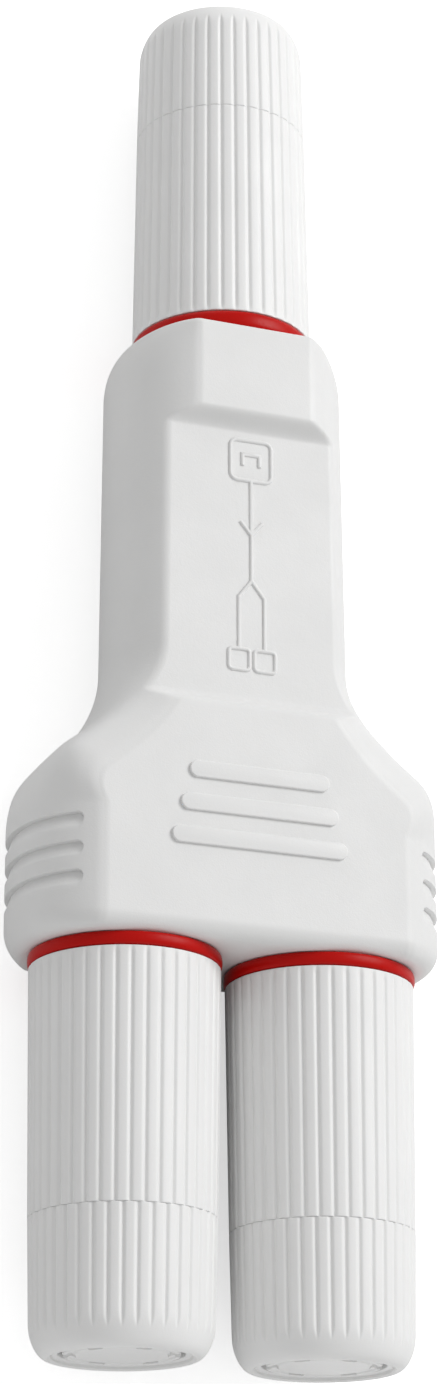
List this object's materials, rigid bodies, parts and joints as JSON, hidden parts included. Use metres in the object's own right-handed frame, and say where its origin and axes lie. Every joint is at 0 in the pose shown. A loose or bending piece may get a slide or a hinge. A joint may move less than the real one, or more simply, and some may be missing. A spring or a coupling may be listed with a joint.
{
  "type": "outdoor power over ethernet extender",
  "caption": "Weatherproof Y-shaped white plastic housing with ribbed cable glands on red gaskets at both ends, over network jacks and a circuit board.",
  "frame": {"origin": "bottom centre of the whole part, under the middle of the housing, on the plane of the flat rear face", "axes": "+Z out of the front face, +Y along the long axis towards the single input gland, +X to the right"},
  "size_m": [0.0674, 0.2206, 0.0315],
  "materials": {
    "white_plastic": "fine matte moulded ABS",
    "red_rubber": "smooth silicone rubber with a soft sheen",
    "black_rubber": "matte sealing rubber",
    "dark_plastic": "matte black moulding",
    "board_green": "solder-resist lacquer on glass epoxy",
    "steel": "plain zinc-plated steel",
    "gold": "gold-plated spring contacts"
  },
  "bodies": {
    "body": {"housing": "white_plastic", "rear_cover": "white_plastic", "cover_gasket": "red_rubber", "cover_screw_1": "steel", "cover_screw_2": "steel", "cover_screw_3": "steel", "cover_screw_4": "steel", "cover_screw_5": "steel", "cover_screw_6": "steel", "board_screw_1": "steel", "board_screw_2": "steel", "board_screw_3": "steel", "board_screw_4": "steel", "bulk_capacitor": "steel", "circuit_board": "board_green", "input_magnetics": "dark_plastic", "power_transformer": "dark_plastic", "switch_chip": "dark_plastic", "output_magnetics": "dark_plastic", "power_inductor": "dark_plastic", "input_jack": "dark_plastic", "input_jack_shield": "steel", "input_jack_contacts": "gold", "input_gasket": "red_rubber", "output_left_jack": "dark_plastic", "output_left_jack_shield": "steel", "output_left_jack_contacts": "gold", "output_left_gasket": "red_rubber", "output_right_jack": "dark_plastic", "output_right_jack_shield": "steel", "output_right_jack_contacts": "gold", "output_right_gasket": "red_rubber"},
    "input_carrier": {"input_claw_cage": "white_plastic", "input_grommet": "black_rubber"},
    "input_sleeve_body": {"input_sleeve": "white_plastic"},
    "input_washer": {"input_slip_washer": "dark_plastic"},
    "input_cap_body": {"input_cap": "white_plastic"},
    "input_plug": {"input_blanking_plug": "white_plastic"},
    "output_left_carrier": {"output_left_claw_cage": "white_plastic", "output_left_grommet": "black_rubber"},
    "output_left_sleeve_body": {"output_left_sleeve": "white_plastic"},
    "output_left_washer": {"output_left_slip_washer": "dark_plastic"},
    "output_left_cap_body": {"output_left_cap": "white_plastic"},
    "output_left_plug": {"output_left_blanking_plug": "white_plastic"},
    "output_right_carrier": {"output_right_claw_cage": "white_plastic", "output_right_grommet": "black_rubber"},
    "output_right_sleeve_body": {"output_right_sleeve": "white_plastic"},
    "output_right_washer": {"output_right_slip_washer": "dark_plastic"},
    "output_right_cap_body": {"output_right_cap": "white_plastic"},
    "output_right_plug": {"output_right_blanking_plug": "white_plastic"}
  },
  "joints": [
    {"name": "input_sleeve_travel", "type": "slide", "parent": "body", "child": "input_carrier", "axis": [0, 1, 0], "range_m": [0, 0.0101]},
    {"name": "input_sleeve_turn", "type": "hinge", "parent": "input_carrier", "child": "input_sleeve_body", "pos_m": [0, 0.05065, 0.0155], "axis": [0, 1, 0], "range_deg": [0, 1800]},
    {"name": "input_cap_travel", "type": "slide", "parent": "input_sleeve_body", "child": "input_washer", "axis": [0, 1, 0], "range_m": [0, 0.0091]},
    {"name": "input_cap_turn", "type": "hinge", "parent": "input_washer", "child": "input_cap_body", "pos_m": [0, 0.05065, 0.0155], "axis": [0, 1, 0], "range_deg": [0, 2160]},
    {"name": "input_plug_pull", "type": "slide", "parent": "input_carrier", "child": "input_plug", "axis": [0, 1, 0], "range_m": [0, 0.032]},
    {"name": "output_left_sleeve_travel", "type": "slide", "parent": "body", "child": "output_left_carrier", "axis": [0, -1, 0], "range_m": [0, 0.0101]},
    {"name": "output_left_sleeve_turn", "type": "hinge", "parent": "output_left_carrier", "child": "output_left_sleeve_body", "pos_m": [-0.0157, -0.05065, 0.0155], "axis": [0, -1, 0], "range_deg": [0, 1800]},
    {"name": "output_left_cap_travel", "type": "slide", "parent": "output_left_sleeve_body", "child": "output_left_washer", "axis": [0, -1, 0], "range_m": [0, 0.0091]},
    {"name": "output_left_cap_turn", "type": "hinge", "parent": "output_left_washer", "child": "output_left_cap_body", "pos_m": [-0.0157, -0.05065, 0.0155], "axis": [0, -1, 0], "range_deg": [0, 2160]},
    {"name": "output_left_plug_pull", "type": "slide", "parent": "output_left_carrier", "child": "output_left_plug", "axis": [0, -1, 0], "range_m": [0, 0.032]},
    {"name": "output_right_sleeve_travel", "type": "slide", "parent": "body", "child": "output_right_carrier", "axis": [0, -1, 0], "range_m": [0, 0.0101]},
    {"name": "output_right_sleeve_turn", "type": "hinge", "parent": "output_right_carrier", "child": "output_right_sleeve_body", "pos_m": [0.0157, -0.05065, 0.0155], "axis": [0, -1, 0], "range_deg": [0, 1800]},
    {"name": "output_right_cap_travel", "type": "slide", "parent": "output_right_sleeve_body", "child": "output_right_washer", "axis": [0, -1, 0], "range_m": [0, 0.0091]},
    {"name": "output_right_cap_turn", "type": "hinge", "parent": "output_right_washer", "child": "output_right_cap_body", "pos_m": [0.0157, -0.05065, 0.0155], "axis": [0, -1, 0], "range_deg": [0, 2160]},
    {"name": "output_right_plug_pull", "type": "slide", "parent": "output_right_carrier", "child": "output_right_plug", "axis": [0, -1, 0], "range_m": [0, 0.032]}
  ],
  "couplings": [
    {"joint": "input_sleeve_travel", "follows": "input_sleeve_turn", "m_per_rad": 0.00031831},
    {"joint": "input_cap_travel", "follows": "input_cap_turn", "m_per_rad": 0.00023873},
    {"joint": "output_left_sleeve_travel", "follows": "output_left_sleeve_turn", "m_per_rad": 0.00031831},
    {"joint": "output_left_cap_travel", "follows": "output_left_cap_turn", "m_per_rad": 0.00023873},
    {"joint": "output_right_sleeve_travel", "follows": "output_right_sleeve_turn", "m_per_rad": 0.00031831},
    {"joint": "output_right_cap_travel", "follows": "output_right_cap_turn", "m_per_rad": 0.00023873}
  ]
}
